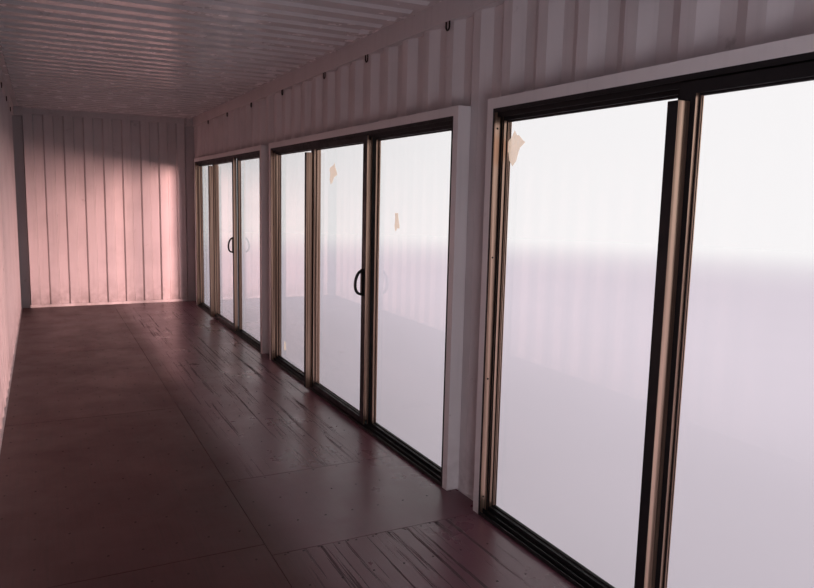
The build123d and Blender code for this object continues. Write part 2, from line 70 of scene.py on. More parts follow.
# Aluminium doors and their fixings
SASH_BEYOND_GLASS = 0.022
PULL_PLATE_THICK = 0.010
PULL_SCREW_FROM_END = 0.0065
PULL_SCREW_RADIUS, PULL_SCREW_TALL = 0.0042, 0.0022
JAMB_WALL = 0.004
JAMB_SCREW_DEPTH = 0.026
JAMB_SCREW_SHARES = (0.045, 0.35, 0.65, 0.955)
JAMB_SCREW_RADIUS, JAMB_SCREW_TALL = 0.005, 0.0024

# Bolts of the cargo doors
BOLT_RADIUS, BOLT_TALL, BOLT_ROUNDING = 0.010, 0.005, 0.0012
HINGE_PLATE, HINGE_KNUCKLE = 0.012, 0.012
HINGE_BOLTS_Y, HINGE_BOLTS_Z = (-0.022, 0.018), (-0.045, 0.045)
BRACKET_BOLTS_Y, BRACKET_BOLTS_Z = (-0.019, 0.019), (-0.018, 0.018)
LEAST_BOLTED_BRACKET = 0.05

# The photograph's camera: place in metres, turns in degrees, focal length and picture width in pixels
CAMERA_PLACE = (-5.0984, 0.8746, 1.8021)
CAMERA_YAW, CAMERA_PITCH, CAMERA_ROLL = (math.radians(a) for a in (27.005, 7.641, 1.304))
FOCAL_PIXELS, PICTURE_PIXELS = 716.7, 814.0
SENSOR_WIDE = 36.0

# Colours of the finishes that aren't among the cabin's properties
PLAIN_PAINT, PLAIN_SHADE = (0.7, 0.6, 0.6, 1.0), (0.5, 0.4, 0.4, 1.0)
GRIME_COLOUR = (0.16, 0.115, 0.105, 1.0)
UNDERFRAME_SHADE = (0.05, 0.04, 0.035, 1.0)
RUST_COLOUR = (0.13, 0.05, 0.025, 1.0)
WORN_FLOOR = (0.080, 0.027, 0.027, 1.0)
DARK_GRAIN = (0.035, 0.017, 0.016, 1.0)
FLOOR_DUST = (0.17, 0.10, 0.10, 1.0)
# Painted sheen: mauve tint that stands in for the bright outside reflected in the floor beside the doors
PAINTED_SHEEN_BESIDE_DOORS = (0.165, 0.066, 0.092, 1.0)
CRACK_COLOUR = (0.010, 0.004, 0.004, 1.0)
COAT_DUST = (0.045, 0.038, 0.037, 1.0)
# Painted reflection: bronze tones for the door frames' side faces, standing in for the warm outside they reflect
DARK_BRONZE_REFLECTION, LIGHT_BRONZE_REFLECTION = (0.13, 0.070, 0.050, 1.0), (0.70, 0.475, 0.36, 1.0)
DARK_ZINC, LIGHT_ZINC = (0.33, 0.33, 0.34, 1.0), (0.48, 0.48, 0.49, 1.0)
ZINC_STAIN = (0.20, 0.13, 0.09, 1.0)
PANE_COLOUR, PANE_SHADOW = (0.975, 0.970, 0.975, 1.0), (0.92, 0.92, 0.92, 1.0)
DARK_RUBBER, DUSTY_RUBBER = (0.014, 0.014, 0.014, 1.0), (0.045, 0.042, 0.040, 1.0)
SCREW_COLOUR = (0.018, 0.012, 0.011, 1.0)
HAZE_COLOUR = (1.0, 0.985, 0.99, 1.0)
SKY_LIGHT = (0.97, 0.935, 0.985, 1.0)
SUN_LOW, SUN_GLOW, DUSK = (1.0, 0.55, 0.49), (1.0, 0.61, 0.64), (0.94, 0.90, 1.0)

STEEL_NODES = ("plain_side_wall", "wall_over_doors", "wall_beside_doors", "blind_end_wall")
RAIL_NODES = (
    "top_side_rails", "bottom_side_rails", "blind_end_corner_posts", "door_end_corner_posts", "blind_end_bottom_rail",
    "blind_end_top_rail", "door_end_sill", "door_end_header", "bottom_corner_castings", "top_corner_castings",
)
OUTER_NODES = RAIL_NODES + (
    "wall_over_doors", "wall_beside_doors", "roof_panel", "door_frame_1", "door_frame_2", "door_frame_3", "cargo_doors",
    "lock_rods", "lock_rod_brackets",
)
LOW_SUN_PIECES = ("blind_end_wall", "plain_side_wall", "foot_strip")


class CabinLook(bpy.types.PropertyGroup):
    """Sizes and colours of the finishes"""

    wall_colour: bpy.props.FloatVectorProperty(
        name="Wall colour", description="Paint on the corrugated sheets", subtype="COLOR", size=4,
        default=(0.62, 0.57, 0.575, 1.0), min=0.0, max=1.0)
    reveal_colour: bpy.props.FloatVectorProperty(
        name="Lining colour", description="Paint on the steel linings of the doors", subtype="COLOR", size=4,
        default=(0.70, 0.655, 0.65, 1.0), min=0.0, max=1.0)
    floor_colour: bpy.props.FloatVectorProperty(
        name="Floor colour", description="Paint on the plywood boards", subtype="COLOR", size=4,
        default=(0.060, 0.0185, 0.0195, 1.0), min=0.0, max=1.0)
    frame_colour: bpy.props.FloatVectorProperty(
        name="Door frame colour", description="Powder coat on the aluminium door frames", subtype="COLOR", size=4,
        default=(0.010, 0.009, 0.010, 1.0), min=0.0, max=1.0)
    underframe_colour: bpy.props.FloatVectorProperty(
        name="Underframe colour", description="Coating on the members under the floor", subtype="COLOR", size=4,
        default=(0.035, 0.033, 0.033, 1.0), min=0.0, max=1.0)
    ground_colour: bpy.props.FloatVectorProperty(
        name="Ground colour", description="Plain pale ground under the cabin", subtype="COLOR", size=4,
        default=(0.93, 0.825, 0.925, 1.0), min=0.0, max=1.0)
    screw_radius: bpy.props.FloatProperty(
        name="Floor screw radius", description="Half the width of a floor screw's head", unit="LENGTH",
        default=0.0055, min=0.002, max=0.02)
    screw_rows: bpy.props.IntProperty(
        name="Floor screw rows", description="Rows of screws across the floor, one over each member", default=39, min=2,
        max=80)
    foot_strip_height: bpy.props.FloatProperty(
        name="Foot strip height", description="Height of the cover strip at the foot of the blind end", unit="LENGTH",
        default=0.036, min=0.01, max=0.1)
    bead_width: bpy.props.FloatProperty(
        name="Glazing bead width", description="Visible width of the bead around each pane", unit="LENGTH",
        default=0.008, min=0.002, max=0.02)
    ring_bar: bpy.props.FloatProperty(
        name="Lashing ring bar", description="Half the thickness of a lashing ring's round bar", unit="LENGTH",
        default=0.005, min=0.002, max=0.01)
    tape_colour: bpy.props.FloatVectorProperty(
        name="Tape colour", description="Scraps of masking tape left on the panes", subtype="COLOR", size=4,
        default=(0.86, 0.70, 0.58, 1.0), min=0.0, max=1.0)


def look():
    return bpy.context.scene.cabin_look


# Small helpers for node trees

COLOUR, VALUE = "NodeSocketColor", "NodeSocketFloat"


def add_node(tree, kind, values=None, **settings):
    """Add a node with its settings, and give its inputs their plain values"""
    made = tree.nodes.new(kind)
    for name, value in settings.items():
        setattr(made, name, value)
    for name, value in (values or {}).items():
        made.inputs[name].default_value = value
    return made


def join(tree, start, end):
    tree.links.new(start, end)


def maths(tree, operation, first, second=0.5, clamp=False):
    """One sum on two sockets or plain numbers"""
    made = add_node(tree, "ShaderNodeMath", operation=operation, use_clamp=clamp)
    for socket, value in zip(made.inputs, (first, second)):
        if isinstance(value, (int, float)):
            socket.default_value = value
        else:
            join(tree, value, socket)
    return made.outputs[0]


def blend_colour(tree, factor, first, second):
    made = add_node(tree, "ShaderNodeMix", data_type="RGBA", clamp_factor=True)
    for index, value in ((0, factor), (6, first), (7, second)):
        if hasattr(value, "is_output"):
            join(tree, value, made.inputs[index])
        else:
            made.inputs[index].default_value = value
    return made.outputs[2]


def ramp(tree, value, low, high, start=0.0, stop=1.0):
    """Soft step of a value: start up to low, stop from high on"""
    made = add_node(tree, "ShaderNodeMapRange", {1: low, 2: high, 3: start, 4: stop}, interpolation_type="SMOOTHSTEP")
    join(tree, value, made.inputs[0])
    return made.outputs[0]


def scaled(colour, share):
    return tuple(share * c for c in colour[:3]) + (1.0,)


def place_pattern(tree, scale=(1.0, 1.0, 1.0)):
    coordinates = add_node(tree, "ShaderNodeTexCoord")
    mapping = add_node(tree, "ShaderNodeMapping", {"Scale": scale})
    join(tree, coordinates.outputs["Object"], mapping.inputs["Vector"])
    return mapping.outputs["Vector"]


def split_axes(tree, vector):
    made = add_node(tree, "ShaderNodeSeparateXYZ")
    join(tree, vector, made.inputs[0])
    return made.outputs


def mix_shaders(tree, factor, first, second):
    made = add_node(tree, "ShaderNodeMixShader")
    join(tree, factor, made.inputs[0])
    join(tree, first.outputs[0], made.inputs[1])
    join(tree, second.outputs[0], made.inputs[2])
    return made.outputs[0]


def noise(tree, vector, scale, detail=3.0, rough=0.55):
    made = add_node(tree, "ShaderNodeTexNoise", {"Scale": scale, "Detail": detail, "Roughness": rough})
    join(tree, vector, made.inputs["Vector"])
    return made.outputs["Fac"]


def new_group(name, inputs, outputs):
    """Node group from its inputs' defaults and its outputs' kinds, with the sockets that its own nodes join"""
    group = bpy.data.node_groups.new(name, "ShaderNodeTree")
    for label, default in inputs.items():
        kind = COLOUR if isinstance(default, tuple) else VALUE
        group.interface.new_socket(name=label, in_out="INPUT", socket_type=kind).default_value = default
    for label, kind in outputs.items():
        group.interface.new_socket(name=label, in_out="OUTPUT", socket_type=kind)
    return group, group.nodes.new("NodeGroupInput").outputs, group.nodes.new("NodeGroupOutput").inputs


def paint_group():
    """Brushed and sprayed paint: uneven tone, faint runs down the sheet and a fine skin"""
    group, given, out = new_group(
        "Uneven paint", {"Colour": PLAIN_PAINT, "Shade": PLAIN_SHADE, "Patches": 0.3, "Runs": 0.2, "Roughness": 0.5},
        {"Colour": COLOUR, "Roughness": VALUE, "Height": VALUE})
    plain = place_pattern(group)
    tall = place_pattern(group, scale=(1.0, 1.0, 0.06))
    patches = ramp(group, noise(group, plain, 1.7, 4.0), 0.42, 0.68)
    runs = ramp(group, noise(group, tall, 22.0, 3.0), 0.52, 0.74)
    amount = maths(group, "ADD", maths(group, "MULTIPLY", patches, given["Patches"]),
                   maths(group, "MULTIPLY", runs, given["Runs"]), clamp=True)
    join(group, blend_colour(group, amount, given["Colour"], given["Shade"]), out["Colour"])
    gloss = maths(group, "MULTIPLY", maths(group, "SUBTRACT", noise(group, plain, 6.0), 0.5), 0.22)
    join(group, maths(group, "ADD", gloss, given["Roughness"]), out["Roughness"])
    skin = maths(group, "MULTIPLY", noise(group, plain, 420.0, 2.0), 0.25)
    join(group, maths(group, "ADD", skin, noise(group, plain, 14.0, 2.0)), out["Height"])
    return group


def grime_group():
    """Dust and splashes that gather low down, and sparse marks anywhere"""
    group, given, out = new_group(
        "Grime", {"Colour": PLAIN_PAINT, "Grime colour": GRIME_COLOUR, "Low edge": WALL_FOOT, "Fade": 0.5,
                  "Low amount": 0.5, "Mark amount": 0.4}, {"Colour": COLOUR})
    plain = place_pattern(group)
    height = split_axes(group, plain)["Z"]
    above = maths(group, "DIVIDE", maths(group, "SUBTRACT", height, given["Low edge"]), given["Fade"])
    low = maths(group, "SUBTRACT", 1.0, above, clamp=True)
    low = maths(group, "MULTIPLY", maths(group, "POWER", low, 2.0), given["Low amount"])
    low = maths(group, "MULTIPLY", low, ramp(group, noise(group, plain, 9.0, 5.0), 0.3, 0.7))
    marks = ramp(group, noise(group, plain, 5.0, 8.0, 0.7), 0.63, 0.72)
    marks = maths(group, "MULTIPLY", marks, given["Mark amount"])
    mask = maths(group, "ADD", low, marks, clamp=True)
    join(group, blend_colour(group, mask, given["Colour"], given["Grime colour"]), out["Colour"])
    return group


def rust_group():
    """Small rust specks with a brown halo, only where the paint has chipped"""
    group, given, out = new_group(
        "Rust specks", {"Colour": PLAIN_PAINT, "Roughness": 0.5, "Scale": 9.0, "Amount": 0.5},
        {"Colour": COLOUR, "Roughness": VALUE})
    plain = place_pattern(group)
    cells = add_node(group, "ShaderNodeTexVoronoi", feature="F1")
    join(group, plain, cells.inputs["Vector"])
    join(group, given["Scale"], cells.inputs["Scale"])
    dots = maths(group, "SUBTRACT", 1.0, ramp(group, cells.outputs["Distance"], 0.02, 0.09))
    where = ramp(group, noise(group, plain, 2.3, 4.0), 0.58, 0.66)
    mask = maths(group, "MULTIPLY", maths(group, "MULTIPLY", dots, where), given["Amount"])
    join(group, blend_colour(group, mask, given["Colour"], RUST_COLOUR), out["Colour"])
    rougher = maths(group, "MULTIPLY", mask, 0.3)
    join(group, maths(group, "ADD", given["Roughness"], rougher, clamp=True), out["Roughness"])
    return group


def use_group(tree, name, values, links):
    made = add_node(tree, "ShaderNodeGroup", node_tree=bpy.data.node_groups[name])
    for label, value in values.items():
        made.inputs[label].default_value = value
    for label, socket in links.items():
        join(tree, socket, made.inputs[label])
    return made.outputs


def new_material(name):
    made = bpy.data.materials.new(name)
    made.use_nodes = True
    tree = made.node_tree
    tree.nodes.clear()
    surface = add_node(tree, "ShaderNodeBsdfPrincipled")
    output = add_node(tree, "ShaderNodeOutputMaterial")
    join(tree, surface.outputs[0], output.inputs["Surface"])
    return made, tree, surface, output


def relief(tree, surface, height, strength, distance):
    bump = add_node(tree, "ShaderNodeBump", {"Strength": strength, "Distance": distance})
    join(tree, height, bump.inputs["Height"])
    join(tree, bump.outputs["Normal"], surface.inputs["Normal"])


def painted_steel(name, colour, shade, patches, runs, rough, low_grime, marks, rust, foot=WALL_FOOT):
    """Painted sheet or section; the low grime fades upwards from the height of its foot"""
    made, tree, surface, _ = new_material(name)
    paint = use_group(tree, "Uneven paint", {"Colour": colour, "Shade": shade, "Patches": patches, "Runs": runs,
                                             "Roughness": rough}, {})
    grime = use_group(tree, "Grime", {"Grime colour": GRIME_COLOUR, "Low edge": foot, "Fade": 0.55,
                                      "Low amount": low_grime, "Mark amount": marks}, {"Colour": paint["Colour"]})
    specks = use_group(tree, "Rust specks", {"Scale": 11.0, "Amount": rust},
                       {"Colour": grime["Colour"], "Roughness": paint["Roughness"]})
    join(tree, specks["Colour"], surface.inputs["Base Color"])
    join(tree, specks["Roughness"], surface.inputs["Roughness"])
    surface.inputs["Specular IOR Level"].default_value = 0.45
    relief(tree, surface, paint["Height"], 0.25, 0.0008)
    return made


def floor_cracks(tree, plain, place, beside_doors):
    """Mask of the lengthwise cracks in the old boards beside the doors; the repair sheet has none"""
    along = place_pattern(tree, scale=(0.10, 6.0, 1.0))
    cracks = ramp(tree, noise(tree, along, 9.0, 4.0, 0.65), 0.575, 0.615)
    from_repair = maths(tree, "ABSOLUTE", maths(tree, "SUBTRACT", place["X"], REPAIR_MIDDLE))
    old_boards = ramp(tree, from_repair, REPAIR_HALF, REPAIR_HALF + 0.01)
    patches = ramp(tree, noise(tree, plain, 0.9, 2.0), 0.30, 0.52)
    zone = maths(tree, "MULTIPLY", old_boards, maths(tree, "MULTIPLY", beside_doors, patches))
    return maths(tree, "MULTIPLY", cracks, zone)


def floor_paint():
    """Dark satin paint over plywood: lengthwise grain, worn patches, dust, and cracks beside the doors; the mauve tint
    beside the doors is a painted sheen
    """
    made, tree, surface, _ = new_material("floor_paint")
    plain = place_pattern(tree)
    place = split_axes(tree, plain)
    along = place_pattern(tree, scale=(0.35, 9.0, 1.0))
    grain = noise(tree, along, 6.0, 7.0, 0.62)
    fine = noise(tree, along, 34.0, 4.0, 0.6)
    dust = ramp(tree, noise(tree, plain, 3.4, 9.0, 0.75), 0.52, 0.80)
    beside_doors = ramp(tree, place["Y"], 0.0, -0.25)
    cracks = floor_cracks(tree, plain, place, beside_doors)

    worn = ramp(tree, noise(tree, plain, 1.1, 5.0, 0.6), 0.40, 0.70)
    dark_grain = maths(tree, "MULTIPLY", ramp(tree, grain, 0.45, 0.75), 0.45)
    tone = blend_colour(tree, worn, tuple(look().floor_colour), WORN_FLOOR)
    tone = blend_colour(tree, dark_grain, tone, DARK_GRAIN)
    tone = blend_colour(tree, maths(tree, "MULTIPLY", dust, 0.20), tone, FLOOR_DUST)
    # painted sheen: the floor beside the doors is tinted mauve, standing in for the reflection of the bright outside
    tone = blend_colour(tree, maths(tree, "MULTIPLY", beside_doors, 0.62), tone, PAINTED_SHEEN_BESIDE_DOORS)
    tone = blend_colour(tree, maths(tree, "MULTIPLY", cracks, 0.62), tone, CRACK_COLOUR)
    join(tree, tone, surface.inputs["Base Color"])

    rough = ramp(tree, noise(tree, plain, 3.1, 5.0, 0.6), 0.25, 0.75, 0.42, 0.54)
    rough = maths(tree, "SUBTRACT", rough, maths(tree, "MULTIPLY", beside_doors, 0.17))
    rough = maths(tree, "ADD", rough, maths(tree, "MULTIPLY", cracks, 0.25))
    join(tree, maths(tree, "ADD", rough, maths(tree, "MULTIPLY", dust, 0.12)), surface.inputs["Roughness"])
    surface.inputs["Specular IOR Level"].default_value = 0.42
    height = maths(tree, "ADD", maths(tree, "MULTIPLY", grain, 0.7), maths(tree, "MULTIPLY", fine, 0.4))
    height = maths(tree, "SUBTRACT", height, maths(tree, "MULTIPLY", cracks, 2.2))
    relief(tree, surface, height, 0.35, 0.0012)
    return made


def dark_aluminium(name, reflection_share):
    """Black powder coat on the faces; the edges that look along the wall are metallic, with a streaked bronze colour
    that is a painted warm reflection
    """
    made, tree, surface, _ = new_material(name)
    plain = place_pattern(tree)
    normal = split_axes(tree, add_node(tree, "ShaderNodeNewGeometry").outputs["Normal"])
    edge = ramp(tree, maths(tree, "ABSOLUTE", normal["X"]), 0.6, 0.85, 0.0, reflection_share)
    coated = maths(tree, "SUBTRACT", 1.0, edge)
    dust = ramp(tree, noise(tree, plain, 7.0, 7.0, 0.7), 0.50, 0.78)
    coat = blend_colour(tree, maths(tree, "MULTIPLY", dust, 0.2), tuple(look().frame_colour), COAT_DUST)
    drawn = noise(tree, place_pattern(tree, scale=(1.0, 1.0, 0.01)), 45.0, 2.0)
    # painted reflection: the streaked bronze tint on the side faces stands in for the warm outside reflected along the
    # wall
    bronze_reflection = blend_colour(tree, ramp(tree, drawn, 0.30, 0.70), DARK_BRONZE_REFLECTION, LIGHT_BRONZE_REFLECTION)
    join(tree, blend_colour(tree, edge, coat, bronze_reflection), surface.inputs["Base Color"])
    join(tree, maths(tree, "MULTIPLY", edge, 0.9), surface.inputs["Metallic"])
    rough = maths(tree, "MULTIPLY", ramp(tree, noise(tree, plain, 12.0, 4.0), 0.3, 0.7, 0.40, 0.52), coated)
    join(tree, maths(tree, "ADD", rough, maths(tree, "MULTIPLY", edge, 0.30)), surface.inputs["Roughness"])
    surface.inputs["Specular IOR Level"].default_value = 0.3
    relief(tree, surface, maths(tree, "MULTIPLY", noise(tree, plain, 900.0, 1.0), coated), 0.12, 0.0004)
    return made


def clear_glass():
    """Clear panes with faint wiping smears; shadow and bounced rays pass straight through"""
    made, tree, surface, output = new_material("clear_glass")
    surface.inputs["Base Color"].default_value = PANE_COLOUR
    surface.inputs["Transmission Weight"].default_value = 1.0
    surface.inputs["IOR"].default_value = 1.38
    plain = place_pattern(tree, scale=(1.0, 1.0, 0.45))
    smears = ramp(tree, noise(tree, plain, 5.0, 6.0, 0.7), 0.58, 0.80, 0.0, 0.035)
    join(tree, smears, surface.inputs["Roughness"])
    rays = add_node(tree, "ShaderNodeLightPath")
    through = maths(tree, "MAXIMUM", rays.outputs["Is Shadow Ray"], rays.outputs["Is Diffuse Ray"])
    clear = add_node(tree, "ShaderNodeBsdfTransparent", {"Color": PANE_SHADOW})
    join(tree, mix_shaders(tree, through, surface, clear), output.inputs["Surface"])
    return made


def dull_zinc():
    """Weathered zinc plate with small spangles and brown stains"""
    made, tree, surface, _ = new_material("dull_zinc")
    plain = place_pattern(tree)
    cells = add_node(tree, "ShaderNodeTexVoronoi", {"Scale": 130.0}, feature="F1")
    join(tree, plain, cells.inputs["Vector"])
    spangle = add_node(tree, "ShaderNodeSeparateColor")
    join(tree, cells.outputs["Color"], spangle.inputs[0])
    tone = blend_colour(tree, spangle.outputs[0], DARK_ZINC, LIGHT_ZINC)
    stain = ramp(tree, noise(tree, plain, 16.0, 6.0, 0.7), 0.52, 0.75)
    tone = blend_colour(tree, maths(tree, "MULTIPLY", stain, 0.5), tone, ZINC_STAIN)
    join(tree, tone, surface.inputs["Base Color"])
    surface.inputs["Metallic"].default_value = 0.85
    join(tree, ramp(tree, stain, 0.0, 1.0, 0.38, 0.62), surface.inputs["Roughness"])
    relief(tree, surface, noise(tree, plain, 160.0, 3.0), 0.2, 0.0005)
    return made


def black_rubber():
    """Matt rubber of the cargo doors' seal, dusty in patches"""
    made, tree, surface, _ = new_material("black_rubber")
    plain = place_pattern(tree)
    dust = ramp(tree, noise(tree, plain, 20.0, 5.0), 0.4, 0.75)
    join(tree, blend_colour(tree, dust, DARK_RUBBER, DUSTY_RUBBER), surface.inputs["Base Color"])
    surface.inputs["Roughness"].default_value = 0.72
    relief(tree, surface, noise(tree, plain, 500.0, 2.0), 0.2, 0.0005)
    return made


def masking_tape():
    """Thin crinkled paper tape, partly see-through, with a painted glow standing in for the daylight shining through it
    """
    made, tree, surface, _ = new_material("masking_tape")
    crinkle = noise(tree, place_pattern(tree), 60.0, 5.0, 0.7)
    colour = tuple(look().tape_colour)
    folds = ramp(tree, crinkle, 0.4, 0.7)
    join(tree, blend_colour(tree, folds, colour, scaled(colour, 0.72)), surface.inputs["Base Color"])
    join(tree, ramp(tree, crinkle, 0.3, 0.7, 0.75, 0.95), surface.inputs["Roughness"])
    # painted light: the tape glows in its own colour, standing in for daylight shining through it from behind
    surface.inputs["Emission Color"].default_value = colour
    surface.inputs["Emission Strength"].default_value = 0.5
    join(tree, ramp(tree, crinkle, 0.3, 0.7, 0.50, 0.75), surface.inputs["Alpha"])
    relief(tree, surface, crinkle, 0.5, 0.0006)
    return made


def screw_steel():
    """Dark steel of screws and rings with rust on it, made once"""
    if "screw_steel" in bpy.data.materials:
        return bpy.data.materials["screw_steel"]
    made, tree, surface, _ = new_material("screw_steel")
    specks = use_group(tree, "Rust specks",
                       {"Colour": SCREW_COLOUR, "Roughness": 0.55, "Scale": 30.0, "Amount": 1.0}, {})
    join(tree, specks["Colour"], surface.inputs["Base Color"])
    join(tree, specks["Roughness"], surface.inputs["Roughness"])
    surface.inputs["Metallic"].default_value = 0.4
    relief(tree, surface, noise(tree, place_pattern(tree), 300.0, 2.0), 0.2, 0.0003)
    return made


def dress(names, material):
    """Give CAD nodes their material"""
    for name in names:
        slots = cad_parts[name].data.materials
        slots.clear()
        slots.append(material)


# Modelling helpers

def fresh(kind, name, scale=(1.0, 1.0, 1.0), **settings):
    """Add a primitive with nothing else selected and put its size and place into its mesh"""
    bpy.ops.object.select_all(action="DESELECT")
    kind(**settings)
    made = bpy.context.object
    made.name = made.data.name = name
    made.scale = scale
    bpy.ops.object.transform_apply(location=True, rotation=True, scale=True)
    return made


def fresh_block(name, low, high):
    middle = [(a + b) / 2 for a, b in zip(low, high)]
    span = [b - a for a, b in zip(low, high)]
    return fresh(bpy.ops.mesh.primitive_cube_add, name, size=1.0, location=middle, scale=span)


def edit(thing, kind, wanted):
    """Open edit mode with only the wanted faces, edges or corners selected"""
    bpy.ops.object.mode_set(mode="EDIT")
    bpy.ops.mesh.select_mode(type=kind)
    bpy.ops.mesh.select_all(action="DESELECT")
    bpy.ops.object.mode_set(mode="OBJECT")
    mesh = thing.data
    items = {"FACE": mesh.polygons, "EDGE": mesh.edges, "VERT": mesh.vertices}[kind]
    for item in items:
        item.select = bool(wanted(item))
    bpy.ops.object.mode_set(mode="EDIT")


def close():
    bpy.ops.object.mode_set(mode="OBJECT")


def edge_middle(thing, edge):
    first, second = (thing.data.vertices[i].co for i in edge.vertices)
    return (first + second) / 2


def push(way):
    """Extrude what is selected"""
    bpy.ops.mesh.extrude_region_move(TRANSFORM_OT_translate={"value": way})


def turn_over(thing, turn):
    """Turn a piece about the origin and put the turn into its mesh"""
    thing.rotation_euler = turn
    bpy.ops.object.transform_apply(location=False, rotation=True, scale=False)


def repeat(thing, name, count, way):
    """Repeat a piece in a row with an Array modifier, which is applied at once"""
    array = thing.modifiers.new(name, "ARRAY")
    array.count = count
    array.use_relative_offset = False
    array.use_constant_offset = True
    array.constant_offset_displace = way
    bpy.ops.object.modifier_apply(modifier=name)


def point_outwards():
    """Make all normals of the mesh that is open in edit mode point outwards"""
    bpy.ops.mesh.select_all(action="SELECT")
    bpy.ops.mesh.normals_make_consistent(inside=False)


def set_out(thing, places):
    """Copy a modelled piece to every place, each copy with its own mesh, and join them into one object"""
    made = []
    for place in places:
        bpy.ops.object.select_all(action="DESELECT")
        thing.select_set(True)
        bpy.context.view_layer.objects.active = thing
        bpy.ops.object.duplicate(linked=False)
        bpy.ops.transform.translate(value=place)
        bpy.ops.object.transform_apply(location=True, rotation=False, scale=False)
        made.append(bpy.context.object)
    bpy.data.objects.remove(thing)
    return merge(made)


def merge(things):
    """Join objects into the first one"""
    bpy.ops.object.select_all(action="DESELECT")
    for thing in things:
        thing.select_set(True)
    bpy.context.view_layer.objects.active = things[0]
    if len(things) > 1:
        bpy.ops.object.join()
    return bpy.context.object


def finish_piece(thing, name, material, body=BODY):
    """Name a piece, give it its material and let it ride its body"""
    thing.name = thing.data.name = name
    thing.data.materials.clear()
    thing.data.materials.append(material)
    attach(thing, body)
    return thing


def solid_boxes(name):
    """Boxes of the separate solids in one CAD node, as low and high corners"""
    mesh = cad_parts[name].data
    spots = [tuple(round(c, 5) for c in v.co) for v in mesh.vertices]
    leader = {spot: spot for spot in spots}

    def top(spot):
        while leader[spot] != spot:
            spot = leader[spot]
        return spot

    for face in mesh.polygons:
        first = top(spots[face.vertices[0]])
        for index in face.vertices[1:]:
            leader[top(spots[index])] = first
    solids = {}
    for spot in leader:
        solids.setdefault(top(spot), []).append(spot)
    boxes = [([min(c) for c in zip(*s)], [max(c) for c in zip(*s)]) for s in solids.values()]
    return sorted(boxes)


def middle_of(box):
    return [(a + b) / 2 for a, b in zip(*box)]


class CABIN_OT_paint_steel(bpy.types.Operator):
    """Paint the corrugated sheets, rails, posts, castings and roof"""

    bl_idname = "cabin.paint_steel"
    bl_label = "Paint the steel"

    def execute(self, context):
        wall = tuple(look().wall_colour)
        shade = scaled(wall, 0.78)
        dress(STEEL_NODES, painted_steel("wall_paint", wall, shade, patches=0.45, runs=0.30, rough=0.50, low_grime=0.55,
                                         marks=0.30, rust=0.6))
        dress(("roof_panel",), painted_steel("roof_paint", wall, shade, patches=0.55, runs=0.10, rough=0.25,
                                             low_grime=0.0, marks=0.35, rust=0.5))
        dress(RAIL_NODES, painted_steel("frame_paint", scaled(wall, 0.96), shade, patches=0.50, runs=0.35, rough=0.48,
                                        low_grime=0.45, marks=0.45, rust=0.9, foot=0.0))
        return {"FINISHED"}


class CABIN_OT_paint_linings(bpy.types.Operator):
    """Paint the steel linings around the three door units"""

    bl_idname = "cabin.paint_linings"
    bl_label = "Paint the door linings"

    def execute(self, context):
        colour = tuple(look().reveal_colour)
        dress(("door_reveals",), painted_steel("lining_paint", colour, scaled(colour, 0.82), patches=0.35, runs=0.25,
                                               rough=0.42, low_grime=0.40, marks=0.20, rust=0.3))
        return {"FINISHED"}


class CABIN_OT_paint_floor(bpy.types.Operator):
    """Paint the floor boards and coat the members under them"""

    bl_idname = "cabin.paint_floor"
    bl_label = "Paint the floor"

    def execute(self, context):
        dress(("floor_boards",), floor_paint())
        coat = painted_steel("underframe_coat", tuple(look().underframe_colour), UNDERFRAME_SHADE, patches=0.5,
                             runs=0.2, rough=0.7, low_grime=0.2, marks=0.5, rust=0.8, foot=0.0)
        dress(("floor_cross_members",), coat)
        return {"FINISHED"}


class CABIN_OT_finish_doors(bpy.types.Operator):
    """Powder coat the door frames and sashes, and fit clear panes"""

    bl_idname = "cabin.finish_doors"
    bl_label = "Finish the sliding doors"

    def execute(self, context):
        # frames and sashes get the painted bronze reflection on their side faces; the pulls stay black all over
        coat = dark_aluminium("dark_aluminium", reflection_share=1.0)
        black = dark_aluminium("black_coat", reflection_share=0.0)
        panes = clear_glass()
        metal = dull_zinc()
        for unit in UNITS:
            dress([n + unit for n in ("door_frame_", "fixed_sashes_", "sliding_sash_")], coat)
            dress(["door_pull_" + unit], black)
            dress([n + unit for n in ("fixed_glass_", "sliding_glass_")], panes)
            dress(["sliding_rollers_" + unit], metal)
        return {"FINISHED"}


class CABIN_OT_finish_cargo_end(bpy.types.Operator):
    """Paint the cargo leaves, and finish their rods, hinges and seal"""

    bl_idname = "cabin.finish_cargo_end"
    bl_label = "Finish the cargo doors"

    def execute(self, context):
        dress(("cargo_doors", "lashing_rings"), bpy.data.materials["wall_paint"])
        dress(("lock_rods", "lock_rod_brackets", "cargo_door_hinges"), bpy.data.materials["dull_zinc"])
        dress(("cargo_door_seal",), black_rubber())
        return {"FINISHED"}


